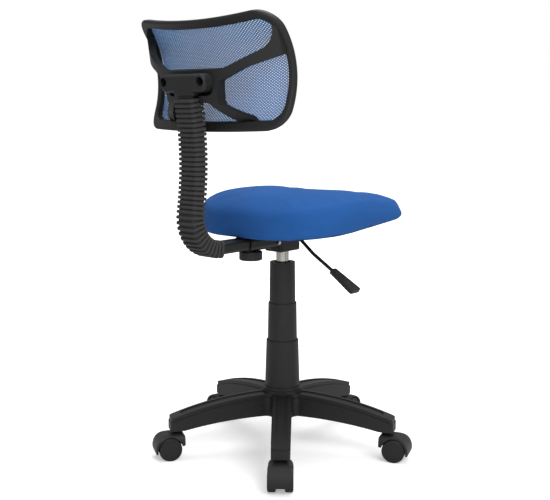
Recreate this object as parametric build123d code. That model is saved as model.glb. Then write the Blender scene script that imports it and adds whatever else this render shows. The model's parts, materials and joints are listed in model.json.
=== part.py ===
# Swivel office chair with a mesh back, a gas lift and a five-legged base on twin-wheel casters.
# Millimetres, +Z up, the sitter faces -Y, and the origin is on the floor at the column axis.
from build123d import *
import math
import os

# Clearances
running_gap = 0.05            # radial clearance of a shaft, rod or stem that turns or slides
part_gap = 0.3                # space between pieces that pass or seat on each other

# Casters
leg_count = 5
base_turn = 4.2               # how far the base stands turned from the seat, in degrees
caster_circle = 239.0         # column axis to caster stem
wheel_radius = 25.0
wheel_width = 17.0
wheel_spacing = 18.0          # between the inner faces of a caster's two wheels
wheel_edge = 2.0
wheel_dish_radius = 19.5
wheel_dish_depth = 0.8
wheel_pocket_depth = 9.0
wheel_hub_radius = 8.0
axle_radius = 4.0
axle_cover = 4.0              # wheel wall over the axle's end
caster_trail = 19.0           # stem axis to axle
hood_gap = 2.0                # hood to tread
hood_wall = 5.0
hood_web_gap = 0.5            # web to wheel
hood_height = 58.0
hood_boss = 13.0              # boss in front of the stem axis
hood_boss_bevel = 5.0
hood_shoulder = 17.0
hood_front_edge = 33.0        # height of the hood's lower edge below the stem
hood_rear_edge = 17.0         # height of the hood's lower edge behind the wheels
stem_radius = 5.5
stem_collar_radius = 10.0
stem_depth = 20.0             # stem in its hood
sleeve_wall = 2.5
sleeve_length = 23.0
sleeve_roof = 1.0             # space over the stem's top

# Base
leg_bottom = 63.7             # underside of a leg's end
leg_end_length = 17.0         # leg beyond the stem
leg_end_flat = 30.0           # level stretch under the stem
leg_half_width_hub = 21.5
leg_half_width_end = 19.5
leg_end_corner = 7.0
leg_top_hub = 130.0           # height of the top line at the axis
leg_top_middle = 120.5        # half way out
leg_top_end = 84.0            # at the profile's end
leg_profile_length = 276.0
leg_ledge_drop = 9.0          # ledge below the top line
leg_ledge_width = 1.8
leg_web_radius = 14.0         # between two legs
leg_wall = 3.5
leg_roof = 6.5
leg_arch = 7.0                # rise of the underside between hub and end
leg_ribs = 3                  # pockets in a row under each leg
leg_rib_width = 3.0
leg_pocket_start = 52.0
channel_half_width = 11.0
channel_depth = 2.5
channel_end = 24.0            # channel's end to the leg's end
hub_radius = 43.0
hub_top = 137.0
hub_bottom = 79.0

# Gas lift
column_radius = 25.0
column_taper = 1.2            # degrees
column_wall = 2.0
column_bottom = 72.0
column_top = 300.0
column_floor = 3.0
bush_length = 60.0
bush_flange = 3.0
lift_stroke = 120.0
cylinder_radius = 14.0
cylinder_wall = 3.0
cylinder_taper = 1.2          # degrees
cylinder_gland = 15.0
cylinder_cap = 8.0
rod_radius = 5.0
rod_tail = 6.0                # rod below the column's floor
rod_shoulder_radius = 9.0
rod_shoulder_height = 3.0
piston_height = 10.0
bearing_height = 6.4
bearing_radius = 15.0
clip_height = 3.2
clip_groove = 1.0
button_radius = 3.0
button_head_radius = 6.0
button_head_height = 3.0
button_height = 6.0           # above the cylinder

# Telescopic cover: radii at the bottom and top of what shows, and the heights between them
cover_wall = 1.6
cover_lip = 2.0
cover_levels = (hub_top, 247.0, 330.0, 421.0)
cover_lower_radii = (38.8, 35.4)
cover_middle_radii = (32.6, 31.3)
cover_upper_radii = (28.8, 27.6)
cover_overlap = 26.0          # length hidden in the tube below
cover_foot_radius = 41.0
cover_foot_height = 7.0
cover_rod_hole = 17.0

# Mechanism under the seat
housing_bottom = 446.0
housing_width = 48.0
housing_length = 66.0
housing_wall = 2.5
housing_corner = 6.0
housing_edge = 3.0
socket_wall = 3.5
socket_height = 26.0
bolt_radius = 2.0
bolt_head_radius = 4.0
bolt_head_height = 3.0
bolt_inset = 6.0              # from the sleeve's inner end
bolt_drop = 4.0               # below the bar's centre line
plate_width = 190.0
plate_length = 178.0
plate_corner = 20.0
plate_thickness = 3.0
seat_bolt_x = 75.0
seat_bolt_y = 68.0
seat_bolt_radius = 3.0
seat_bolt_head_radius = 6.0
seat_bolt_head = 4.0
nut_wall = 1.6
nut_flange_radius = 9.0
nut_flange = 1.5

# Seat
seat_tilt = 5.0               # front raised, in degrees
board_underside = 500.0       # at the column axis
board_thickness = 11.0
board_inset = 16.0            # board's edge inside the cushion's outline
seat_half_width = 197.0
seat_front = 222.0            # column axis to the front edge
seat_rear = 145.0             # column axis to the rear edge
seat_front_corner = 80.0
seat_rear_corner = 150.0
cushion_tuck = 9.0            # how far the lower edge is drawn in
cushion_shoulder_inset = 15.0
cushion_shoulder = 0.80       # shoulder height as a share of the crown's height
cushion_bulge = 0.5           # height of the widest line as a share of the shoulder's
cushion_crown = 83.0          # above the board's underside
# Along the seat, from the rear edge (0) to the front edge (1), and the height as a share of the crown
cushion_stations = (
    (0.0, 0.56),
    (0.025, 0.75),
    (0.09, 0.90),
    (0.22, 0.98),
    (0.40, 1.0),
    (0.58, 0.93),
    (0.72, 0.81),
    (0.84, 0.70),
    (0.90, 0.65),
    (0.95, 0.56),
    (0.98, 0.44),
    (0.995, 0.29),
    (1.0, 0.15),
)

# Height lever: route of the rod from over the button to the paddle, in X and Z
lever_radius = 3.75
lever_height = 483.0
lever_inner_end = 3.0
lever_bend_start = 40.0
lever_knee = (86.0, 447.0)
lever_paddle_start = (138.0, 417.0)
lever_paddle_end = (200.5, 379.0)
lever_bend_radius = 24.0
lever_knee_radius = 80.0
lever_grip = 46.0             # rod in the paddle
paddle_half_width_start = 9.0
paddle_half_width_end = 16.0
paddle_thickness = 11.0
paddle_corner = 5.0
paddle_edge = 2.5
lever_slot_gap = 1.0

# Clamp knob
knob_radius = 24.5
knob_height = 19.5
knob_edge = 3.0
knob_y = 102.0
knob_collar_radius = 10.0
knob_collar = 1.4
knob_screw_radius = 4.0
knob_screw_grip = 12.0        # screw in the knob

# Back bar
bar_width = 42.0
bar_depth = 24.0
bar_corner = 7.0
bar_wall = 2.0
bar_height = 472.5            # centre of the level stretch
bar_inner_end = 52.0
bar_cap = 3.0
bar_cap_plug = 8.0
bar_bend_start = 208.5
bar_bend_radius = 66.0
bar_bow_angle = 9.8           # lean towards the seat after the bend, in degrees
bar_bow_radius = 600.0
bar_sleeve_wall = 2.5
bar_sleeve_end = 125.0

# Ribbed cover on the bar
bellows_gap = 0.6             # air between bar and cover
bellows_wall = 2.6
bellows_rib = 2.8
bellows_pitch = 10.0
bellows_rib_foot = 6.0        # rib's length at its foot
bellows_rib_top = 3.4         # rib's length at its top
bellows_start = 3.0           # before the bend
bellows_end_gap = 2.0         # to the head plate's neck

# Back: its own frame has u across, v up along the tilted back and n to the rear
back_tilt = 8.9
mount_height = 69.2           # bar's bow end to the back's centre, along the bar
mount_depth = 62.4            # rim's rear face to the bar's centre line
back_half_width = 188.5
back_widest = 19.0            # v of the widest line
back_top_middle = 101.7
back_top_corner = (182.5, 114.5)
back_bottom_corner = (183.5, -111.7)
back_top_round = 40.0
back_bottom_round = 36.0
rail_width = 18.0             # rim's face at the top and bottom
side_width = 11.5             # rim's face at the sides
rim_depth = 15.0
rim_radius_across = 550.0     # wraps forward round the sitter
rim_radius_up = 160.0         # swells forward at the loins
rim_edge = 4.0
arm_reach = 7.0               # outer edge of the rim to the arms' ends
arm_thickness = 15.0
arm_radius_across = 268.0
arm_radius_low = 80.0         # lower arms bend forward to the bottom rail
arm_low_centre = -36.0        # v of their rearmost point
arm_join = -8.0               # v where the upright and the bent surface meet
arm_rear = 57.5               # upright surface behind the rim's rear face
cross_rail_top = 10.0         # v of the cross rail's upper edge
cross_rail_bend = 83.0        # u where it turns up to the corners
cross_rail_round = 60.0
upper_window_corner = (171.5, 46.7)
upper_window_round = 35.0
side_window = ((72.0, -14.0), (122.0, 8.6), (260.0, 48.0), (260.0, -198.0), (68.0, -54.0))
side_window_round = 8.0
low_window = ((-47.0, -52.5), (47.0, -52.5), (133.0, -136.0), (-133.0, -136.0))
low_window_round = 6.0
hub_half_width = 74.0
hub_bottom_edge = -58.0
hub_front = 30.5
hub_floor = 39.5
mesh_inset = 7.0
mesh_thickness = 1.2
mesh_gap = 0.2

# Head plate at the bar's top
head_half_width = 61.0
head_top = 4.3
head_bottom = -30.6
head_rear = 76.4
head_corner = 13.0
head_edge = 7.0
neck_half_width = 27.0
neck_bottom = -38.6
bar_top_end = -4.0            # v of the bar's top end
head_screw_x = 50.0
head_screw_v = -9.2
head_screw_well = 8.5
head_screw_floor = 47.5
screw_radius = 3.0
screw_head_radius = 5.5
screw_head_height = 4.0
screw_tip = 32.0


# Helpers


def ring(outer, inner, low, high):
    """Round tube on the column axis."""
    height = high - low
    tube = Cylinder(outer, height) - Cylinder(inner, height)
    return Pos(0, 0, (low + high) / 2) * tube


def rod(radius, low, high):
    """Round bar on the column axis."""
    return Pos(0, 0, (low + high) / 2) * Cylinder(radius, high - low)


def turned(points):
    """Solid of revolution about Z from (radius, height) corners."""
    profile = make_face(Polyline(*points, close=True))
    return revolve(Plane.XZ * profile, Axis.Z)


def upright(profile, depth):
    """Profile drawn in X and Z, thickened both ways along Y."""
    return extrude(Plane.XZ * profile, depth, both=True)


def column_radius_at(height):
    """Outer radius of the column in the hub's taper."""
    drop = max(hub_top - height, 0.0)
    return column_radius - drop * math.tan(math.radians(column_taper))


def cylinder_radius_at(height):
    """Outer radius of the gas cylinder in the housing's taper."""
    rise = max(height - housing_bottom, 0.0)
    return cylinder_radius - rise * math.tan(math.radians(cylinder_taper))


def leg_place(index):
    """Location of one leg, with +X along the leg."""
    return Rot(0, 0, 270.0 + base_turn + index * 360.0 / leg_count)


# Base


def leg_half_width(distance):
    """Half width of a leg at a distance from the axis."""
    length = caster_circle + leg_end_length
    return leg_half_width_hub + (leg_half_width_end - leg_half_width_hub) * distance / length


def leg_span(start, end, inset):
    """Plan of a leg between two distances from the axis, drawn in from its sides."""
    half_start = leg_half_width(start) - inset
    half_end = leg_half_width(end) - inset
    corners = ((start, -half_start), (end, -half_end), (end, half_end), (start, half_start))
    return make_face(Polyline(*corners, close=True))


def star_plan(inset):
    """Plan of the five legs with rounded ends and webs."""
    leg = leg_span(0, caster_circle + leg_end_length - inset, inset)
    leg = fillet(leg.vertices().group_by(Axis.X)[-1], leg_end_corner)
    plan = Sketch() + [leg_place(index) * leg for index in range(leg_count)]
    webs = [corner for corner in plan.vertices() if corner.center().length < 2 * leg_half_width_hub]
    return fillet(webs, leg_web_radius)


def leg_underside():
    """Arched line under a leg, from the axis to the profile's end."""
    flat_start = caster_circle + leg_end_length - leg_end_flat
    middle = (hub_bottom + leg_bottom) / 2 + leg_arch
    arch = ThreePointArc((0, hub_bottom), (flat_start / 2, middle), (flat_start, leg_bottom))
    return arch + Line((flat_start, leg_bottom), (leg_profile_length, leg_bottom))


def leg_region(top_drop, lower):
    """Solid of revolution between a lower line and the legs' top line."""
    inner, outer = leg_top_hub - top_drop, leg_top_end - top_drop
    middle = (leg_profile_length / 2, leg_top_middle - top_drop)
    edges = ThreePointArc((leg_profile_length, outer), middle, (0, inner)) + lower
    edges += Line((0, inner), lower @ 0)
    edges += Line(lower @ 1, (leg_profile_length, outer))
    return revolve(Plane.XZ * make_face(edges), Axis.Z)


def base_star():
    """Moulded base: ribbed legs, hub with a tapered bore, holes for the caster sleeves."""
    underside = leg_underside()
    ground = Line((0, 0), (leg_profile_length, 0))
    tall = 2 * hub_top
    lower = extrude(star_plan(0), tall) & leg_region(leg_ledge_drop, underside)
    upper = extrude(star_plan(leg_ledge_width), tall) & leg_region(0, underside)
    star = lower + upper

    channel_length = caster_circle + leg_end_length - channel_end
    channel = Pos(channel_length / 2, 0) * SlotOverall(channel_length, 2 * channel_half_width)
    channels = extrude(Sketch() + [leg_place(index) * channel for index in range(leg_count)], tall)
    star -= channels - leg_region(channel_depth, ground)

    pocket_end = caster_circle - stem_radius - sleeve_wall - leg_wall
    step = (pocket_end - leg_pocket_start + leg_rib_width) / leg_ribs
    starts = [leg_pocket_start + step * number for number in range(leg_ribs)]
    pockets = [leg_span(start, start + step - leg_rib_width, leg_wall) for start in starts]
    plan = Sketch() + [leg_place(index) * pocket for index in range(leg_count) for pocket in pockets]
    star -= extrude(plan, tall) & leg_region(leg_roof, ground)

    star += rod(hub_radius, hub_bottom, hub_top)
    bore = turned((
        (0, 0),
        (column_radius_at(0), 0),
        (column_radius, hub_top),
        (column_radius, tall),
        (0, tall),
    ))
    star -= bore
    hole = rod(stem_radius + sleeve_wall, 0, leg_bottom + sleeve_length + sleeve_roof)
    for index in range(leg_count):
        star -= leg_place(index) * Pos(caster_circle, 0, 0) * hole
    return star


def caster_sleeves():
    """Grip sleeves in the leg ends, one group."""
    inner = stem_radius + running_gap
    sleeve = ring(stem_radius + sleeve_wall, inner, leg_bottom, leg_bottom + sleeve_length)
    return [leg_place(index) * Pos(caster_circle, 0, 0) * sleeve for index in range(leg_count)]


# Casters, drawn with the stem on the Z axis and trailing to +X


def caster_stem():
    """Steel stem with its collar."""
    top = leg_bottom + sleeve_length - sleeve_roof
    stem = rod(stem_radius, hood_height - stem_depth, top)
    return stem + rod(stem_collar_radius, hood_height, leg_bottom - part_gap)


def caster_hood():
    """Hood with its web between the wheels and its skirt round the treads."""
    shroud = wheel_radius + hood_gap + hood_wall
    half_width = wheel_spacing / 2 + wheel_width
    bevel = hood_boss_bevel
    boss = make_face(Polyline(
        (-hood_boss, 0),
        (-hood_boss, hood_height - bevel),
        (-hood_boss + bevel, hood_height),
        (hood_boss - bevel, hood_height),
        (caster_trail, wheel_radius + shroud),
        (caster_trail, 0),
        close=True,
    ))
    reach = caster_trail + 2 * shroud
    below = make_face(Polyline(
        (-reach, -reach),
        (-reach, hood_front_edge),
        (-hood_boss, hood_front_edge),
        (caster_trail + shroud, hood_rear_edge),
        (reach, hood_rear_edge),
        (reach, -reach),
        close=True,
    ))
    profile = boss + Pos(caster_trail, wheel_radius) * Circle(shroud) - below
    hood = upright(profile, half_width)
    front = Pos(0, hood_height / 2) * Rectangle(2 * half_width, hood_height)
    front = fillet(front.vertices().group_by(Axis.Y)[-1], hood_shoulder)
    hood &= extrude(Plane.YZ * front, reach, both=True)
    web = wheel_spacing / 2 - hood_web_gap
    well = Cylinder(wheel_radius + hood_gap, 2 * wheel_width, rotation=(90, 0, 0))
    for side in (-1, 1):
        hood -= Pos(caster_trail, side * (web + wheel_width), wheel_radius) * well
    hood -= Pos(caster_trail, 0, wheel_radius) * Cylinder(axle_radius, 4 * half_width, rotation=(90, 0, 0))
    return hood - rod(stem_radius, hood_height - stem_depth, 2 * hood_height)


def caster_axle():
    """Axle through the hood's web."""
    length = wheel_spacing + 2 * (wheel_width - axle_cover)
    return Pos(caster_trail, 0, wheel_radius) * Cylinder(axle_radius, length, rotation=(90, 0, 0))


def caster_wheel(side):
    """One wheel: tread, dished outer face, hub with a blind bore."""
    wheel = rod(wheel_radius, 0, wheel_width)
    wheel = chamfer(wheel.edges().filter_by(GeomType.CIRCLE), wheel_edge)
    wheel -= rod(wheel_dish_radius, wheel_width - wheel_dish_depth, 2 * wheel_width)
    wheel -= ring(wheel_dish_radius, wheel_hub_radius, -wheel_width, wheel_pocket_depth)
    wheel -= rod(axle_radius + running_gap, -wheel_width, wheel_width - axle_cover + part_gap)
    return Pos(caster_trail, side * wheel_spacing / 2, wheel_radius) * Rot(-90 * side, 0, 0) * wheel


# Gas lift


def column_tube():
    """Outer tube with its taper and its floor."""
    bore = column_radius - column_wall
    floor_radius = column_radius_at(column_bottom)
    floor_top = column_bottom + column_floor
    return turned((
        (rod_radius + running_gap, column_bottom),
        (floor_radius, column_bottom),
        (column_radius, hub_top),
        (column_radius, column_top),
        (bore, column_top),
        (bore, hub_top),
        (floor_radius - column_wall, floor_top),
        (rod_radius + running_gap, floor_top),
    ))


def guide_bush():
    """Bush in the mouth of the outer tube."""
    inner = cylinder_radius + running_gap
    bush = ring(column_radius - column_wall, inner, column_top - bush_length, column_top)
    return bush + ring(column_radius, inner, column_top, column_top + bush_flange)


def bearing_bottom():
    """Height of the thrust bearing's underside."""
    return column_bottom + column_floor + part_gap


def cylinder_bottom():
    """Height of the gas cylinder's lower end, which clears the rod's shoulder at the end of the stroke."""
    return bearing_bottom() + bearing_height + rod_shoulder_height + lift_stroke + cylinder_gland


def piston_top():
    """Height of the piston's top, over the cylinder's gland."""
    return cylinder_bottom() + cylinder_gland + part_gap + piston_height


def piston_rod():
    """Rod with its shoulder, piston and clip groove."""
    top = piston_top()
    shoulder = bearing_bottom() + bearing_height
    piston = rod(rod_radius, column_bottom - rod_tail, top)
    piston += rod(rod_shoulder_radius, shoulder, shoulder + rod_shoulder_height)
    piston += rod(cylinder_radius - cylinder_wall - running_gap, top - piston_height, top)
    groove_top = column_bottom - part_gap
    return piston - ring(2 * rod_radius, rod_radius - clip_groove, groove_top - clip_height, groove_top)


def rod_clip():
    """Clip under the column's floor."""
    top = column_bottom - part_gap
    return ring(rod_shoulder_radius, rod_radius - clip_groove, top - clip_height, top)


def thrust_bearing():
    """Bearing ring between the column's floor and the rod's shoulder."""
    low = bearing_bottom()
    return ring(bearing_radius, rod_radius, low, low + bearing_height)


def cylinder_top():
    """Height of the gas cylinder's upper end."""
    return lever_height - lever_radius - part_gap - button_height


def gas_cylinder():
    """Cylinder with its gland, bore and button hole."""
    low = cylinder_bottom()
    top = cylinder_top()
    bore = cylinder_radius - cylinder_wall
    return turned((
        (rod_radius + running_gap, low),
        (cylinder_radius, low),
        (cylinder_radius, housing_bottom),
        (cylinder_radius_at(top), top),
        (button_radius + running_gap, top),
        (button_radius + running_gap, top - cylinder_cap),
        (bore, top - cylinder_cap),
        (bore, low + cylinder_gland),
        (rod_radius + running_gap, low + cylinder_gland),
    ))


def release_button():
    """Pin that opens the gas valve."""
    head_top = cylinder_top() - cylinder_cap - part_gap
    pin = rod(button_radius, head_top, cylinder_top() + button_height)
    return pin + rod(button_head_radius, head_top - button_head_height, head_top)


# Telescopic cover


def cover_tube(low, level, high, radii, lip_radius):
    """Tapered tube: radii at the level where it shows and at its top, with an inward lip."""
    slope = (radii[1] - radii[0]) / (high - level)
    foot = radii[0] + slope * (low - level)
    return turned((
        (foot - cover_wall, low),
        (foot, low),
        (radii[1], high),
        (lip_radius, high),
        (lip_radius, high - cover_lip),
        (radii[1] - cover_wall - slope * cover_lip, high - cover_lip),
    ))


def cover_lower():
    """Fixed cover tube with its foot on the hub."""
    foot, low_top = cover_levels[0], cover_levels[1]
    tube = cover_tube(foot, foot, low_top, cover_lower_radii, cover_middle_radii[0] + 2 * part_gap)
    return tube + ring(cover_foot_radius, cover_lower_radii[0] - cover_wall, foot, foot + cover_foot_height)


def cover_middle():
    """Middle cover tube."""
    level, high = cover_levels[1], cover_levels[2]
    lip = cover_upper_radii[0] + 2 * part_gap
    return cover_tube(level - cover_overlap, level, high, cover_middle_radii, lip)


def cover_upper():
    """Upper cover tube with its hole for the cylinder."""
    level, high = cover_levels[2], cover_levels[3]
    return cover_tube(level - cover_overlap, level, high, cover_upper_radii, cover_rod_hole)


# Mechanism

seat_place = Pos(0, 0, board_underside) * Rot(-seat_tilt, 0, 0)


def under_plate(solid):
    """What of a solid lies under the seat plate."""
    size = 4 * seat_front
    above = Pos(0, 0, size / 2 - plate_thickness) * Box(size, size, size)
    return solid - seat_place * above


def mechanism_housing():
    """Pressed box with the taper socket for the gas lift."""
    height = board_underside - housing_bottom + plate_thickness
    box = Pos(0, 0, housing_bottom + height / 2) * Box(housing_width, housing_length, height)
    box = fillet(box.edges().filter_by(Axis.Z), housing_corner)
    box = fillet(box.edges().group_by(Axis.Z)[0], housing_edge)
    inner = RectangleRounded(
        housing_width - 2 * housing_wall,
        housing_length - 2 * housing_wall,
        housing_corner - housing_wall,
    )
    box -= Pos(0, 0, housing_bottom + housing_wall) * extrude(inner, 2 * height)
    socket_top = housing_bottom + socket_height
    box += rod(cylinder_radius + socket_wall, housing_bottom, socket_top)
    box -= turned((
        (0, 0),
        (cylinder_radius, 0),
        (cylinder_radius, housing_bottom),
        (cylinder_radius_at(socket_top), socket_top),
        (cylinder_radius_at(socket_top), 2 * socket_top),
        (0, 2 * socket_top),
    ))
    slot = Cylinder(lever_radius + lever_slot_gap, housing_width, rotation=(0, 90, 0))
    box -= Pos(-housing_width / 2, 0, lever_height) * slot
    return under_plate(box)


def seat_bolt_spots():
    """Places of the four seat bolts on the board's underside."""
    return [Pos(x, y, 0) for x in (-seat_bolt_x, seat_bolt_x) for y in (-seat_bolt_y, seat_bolt_y)]


def seat_plate():
    """Steel plate under the board."""
    plate = extrude(RectangleRounded(plate_width, plate_length, plate_corner), -plate_thickness)
    hole = Cylinder(seat_bolt_radius + part_gap, 4 * plate_thickness)
    for spot in seat_bolt_spots():
        plate -= spot * hole
    return seat_place * plate


def seat_bolts():
    """Four bolts from below, one group."""
    head = extrude(RegularPolygon(seat_bolt_head_radius, 6), -seat_bolt_head)
    bolt = Pos(0, 0, -plate_thickness) * head
    bolt += rod(seat_bolt_radius, -plate_thickness, board_thickness - nut_flange)
    return [seat_place * spot * bolt for spot in seat_bolt_spots()]


def seat_nuts():
    """Four flanged nuts let into the board from above, one group."""
    outer = seat_bolt_radius + nut_wall
    nut = ring(outer, seat_bolt_radius, nut_flange, board_thickness - nut_flange)
    nut += ring(nut_flange_radius, seat_bolt_radius, board_thickness - nut_flange, board_thickness)
    return [seat_place * spot * nut for spot in seat_bolt_spots()]


def bar_section(grow):
    """Section of the back bar, enlarged all round."""
    return RectangleRounded(bar_width + 2 * grow, bar_depth + 2 * grow, bar_corner + grow)


def bar_sleeve():
    """Steel sleeve that guides the back bar behind the housing."""
    start = housing_length / 2
    section = bar_section(part_gap + bar_sleeve_wall) - bar_section(part_gap)
    sleeve = extrude(Plane(origin=(0, start, bar_height), x_dir=(1, 0, 0), z_dir=(0, 1, 0)) * section,
                     bar_sleeve_end - start)
    hole = rod(knob_screw_radius + running_gap, housing_bottom, bar_height)
    bolt_hole = extrude(bolt_plane() * Circle(bolt_radius), -2 * bar_sleeve_wall)
    return sleeve - Pos(0, knob_y, 0) * hole - bolt_hole


def bolt_plane():
    """Plane on the bar sleeve's side where its bolt sits, facing out."""
    side = bar_width / 2 + part_gap + bar_sleeve_wall
    return Plane(
        origin=(-side, housing_length / 2 + bolt_inset, bar_height - bolt_drop),
        x_dir=(0, 1, 0),
        z_dir=(-1, 0, 0),
    )


def sleeve_bolt():
    """Bolt in the side of the bar sleeve."""
    head = extrude(bolt_plane() * RegularPolygon(bolt_head_radius, 6), bolt_head_height)
    return head + extrude(bolt_plane() * Circle(bolt_radius), -bar_sleeve_wall)


# Clamp knob


def sleeve_underside():
    """Height of the bar sleeve's underside."""
    return bar_height - bar_depth / 2 - part_gap - bar_sleeve_wall


def knob_top():
    """Height of the knob's rim."""
    return sleeve_underside() - part_gap - knob_collar


def clamp_knob():
    """Hand knob under the bar sleeve."""
    top = knob_top()
    knob = rod(knob_radius, top - knob_height, top)
    knob = fillet(knob.edges().filter_by(GeomType.CIRCLE), knob_edge)
    knob += rod(knob_collar_radius, top, top + knob_collar)
    knob -= rod(knob_screw_radius, top - knob_screw_grip, 2 * top)
    return Pos(0, knob_y, 0) * knob


def knob_screw():
    """Screw of the knob, which presses on the bar."""
    tip = bar_height - bar_depth / 2 - part_gap
    return Pos(0, knob_y, 0) * rod(knob_screw_radius, knob_top() - knob_screw_grip, tip)


# Height lever


def paddle_place():
    """Location of the paddle: +X along it, Z normal to its flat."""
    (x0, z0), (x1, z1) = lever_paddle_start, lever_paddle_end
    along = Vector(x0 - x1, 0, z1 - z0)
    return Plane(origin=(-x0, 0, z0), x_dir=along, z_dir=along.cross(Vector(0, 1, 0)))


def paddle_length():
    """Length of the paddle along its centre line."""
    return math.dist(lever_paddle_start, lever_paddle_end)


def lever_rod():
    """Bent rod from over the button to the paddle."""
    place = paddle_place()
    grip_end = place.from_local_coords(Vector(lever_grip, 0, 0))
    route = FilletPolyline(
        (lever_inner_end, 0, lever_height),
        (-lever_bend_start, 0, lever_height),
        (-lever_knee[0], 0, lever_knee[1]),
        (grip_end.X, 0, grip_end.Z),
        radius=(lever_bend_radius, lever_knee_radius),
    )
    start = Plane(origin=(lever_inner_end, 0, lever_height), z_dir=(-1, 0, 0))
    return sweep(start * Circle(lever_radius), route)


def lever_paddle():
    """Flat paddle on the lever's end."""
    length = paddle_length()
    start, end = paddle_half_width_start, paddle_half_width_end
    outline = make_face(Polyline((0, -start), (length, -end), (length, end), (0, start), close=True))
    outline = fillet(outline.vertices(), paddle_corner)
    paddle = extrude(outline, paddle_thickness / 2, both=True)
    rims = paddle.faces().filter_by(Plane.XY).edges()
    paddle = fillet(rims, paddle_edge)
    return paddle_place().location * paddle - lever_rod()


# Seat


def seat_outline(inset):
    """Plan of the seat, drawn in all round."""
    width = 2 * (seat_half_width - inset)
    length = seat_front + seat_rear - 2 * inset
    plan = Pos(0, (seat_rear - seat_front) / 2) * Rectangle(width, length)
    plan = fillet(plan.vertices().group_by(Axis.Y)[0], seat_front_corner - inset)
    return fillet(plan.vertices().group_by(Axis.Y)[-1], seat_rear_corner - inset)


def seat_half_width_at(y):
    """Half width of the seat at a place along it."""
    front = -seat_front + seat_front_corner - y
    rear = y - seat_rear + seat_rear_corner
    half = seat_half_width
    if front > 0:
        half += math.sqrt(seat_front_corner ** 2 - front ** 2) - seat_front_corner
    if rear > 0:
        half += math.sqrt(seat_rear_corner ** 2 - rear ** 2) - seat_rear_corner
    return half


def cushion_section(y, height):
    """Section across the seat: drawn-in sides and a crown."""
    half = seat_half_width_at(y)
    shoulder = cushion_shoulder * height
    waist = cushion_bulge * shoulder
    foot = half - cushion_tuck
    top = half - cushion_shoulder_inset
    edges = Line((-foot, 0), (foot, 0))
    edges += ThreePointArc((foot, 0), (half, waist), (top, shoulder))
    edges += ThreePointArc((top, shoulder), (0, height), (-top, shoulder))
    edges += ThreePointArc((-top, shoulder), (-half, waist), (-foot, 0))
    return Plane(origin=(0, y, 0), x_dir=(1, 0, 0), z_dir=(0, -1, 0)) * make_face(edges)


def seat_cushion():
    """Padded seat, pulled down round the board."""
    length = seat_front + seat_rear
    sections = [
        cushion_section(seat_rear - along * length, share * cushion_crown)
        for along, share in cushion_stations
    ]
    pocket = extrude(seat_outline(board_inset - part_gap), board_thickness + part_gap)
    return seat_place * (loft(sections) - pocket)


def seat_board():
    """Plywood board with wells for the nuts."""
    board = extrude(seat_outline(board_inset), board_thickness)
    well = rod(nut_flange_radius, board_thickness - nut_flange, 2 * board_thickness)
    hole = rod(seat_bolt_radius + nut_wall, -board_thickness, board_thickness)
    for spot in seat_bolt_spots():
        board -= spot * (well + hole)
    return seat_place * board


# Back bar and its ribbed cover


def bar_bend_angle():
    """Turn of the bend, in radians."""
    return math.radians(90.0 + bar_bow_angle)


def bar_bow_turn():
    """Turn of the bow above the bend, in radians."""
    return math.radians(bar_bow_angle + back_tilt)


def bar_lengths():
    """Lengths of the bar's level stretch, bend and bow."""
    return (bar_bend_start - bar_inner_end, bar_bend_radius * bar_bend_angle(), bar_bow_radius * bar_bow_turn())


def bar_point(distance):
    """Point (y, z) on the bar's centre line, and its heading from +Y in radians."""
    level, bend, bow = bar_lengths()
    if distance <= level:
        return bar_inner_end + distance, bar_height, 0.0
    if distance <= level + bend:
        turn = (distance - level) / bar_bend_radius
        y = bar_bend_start + bar_bend_radius * math.sin(turn)
        return y, bar_height + bar_bend_radius * (1 - math.cos(turn)), turn
    y, z, heading = bar_point(level + bend)
    turn = min(distance - level - bend, bow) / bar_bow_radius
    last = heading - turn
    y += bar_bow_radius * (math.sin(heading) - math.sin(last))
    z += bar_bow_radius * (math.cos(last) - math.cos(heading))
    rest = max(distance - level - bend - bow, 0.0)
    return y + rest * math.cos(last), z + rest * math.sin(last), last


def bar_plane(distance):
    """Plane square to the bar's centre line, with X across the bar."""
    y, z, heading = bar_point(distance)
    return Plane(origin=(0, y, z), x_dir=(1, 0, 0), z_dir=(0, math.cos(heading), math.sin(heading)))


def bar_centre():
    """Distance along the bar to the back's centre."""
    return sum(bar_lengths()) + mount_height


def bar_route(start, end):
    """Centre line of the bar between two distances: straight runs and arcs."""
    level, bend, bow = bar_lengths()
    marks = [start]
    for mark in (level, level + bend, level + bend + bow):
        if start < mark < end:
            marks.append(mark)
    marks.append(end)
    points = [(0, *bar_point(mark)[:2]) for mark in marks]
    middles = [(0, *bar_point((a + b) / 2)[:2]) for a, b in zip(marks, marks[1:])]
    route = Curve()
    for first, middle, last, low in zip(points, middles, points[1:], marks):
        straight = low < level or low >= level + bend + bow
        route += Line(first, last) if straight else ThreePointArc(first, middle, last)
    return route


def bar_sweep(section, start, end):
    """Section carried along the bar."""
    return sweep(bar_plane(start) * section, bar_route(start, end))


def back_bar():
    """Bent tube that carries the back."""
    return bar_sweep(bar_section(0) - bar_section(-bar_wall), 0, bar_centre() + bar_top_end)


def bar_end_cap():
    """Plastic cap in the bar's inner end."""
    cap = extrude(bar_section(0), -bar_cap) + extrude(bar_section(-bar_wall), bar_cap_plug)
    return bar_plane(0).location * cap


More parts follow.
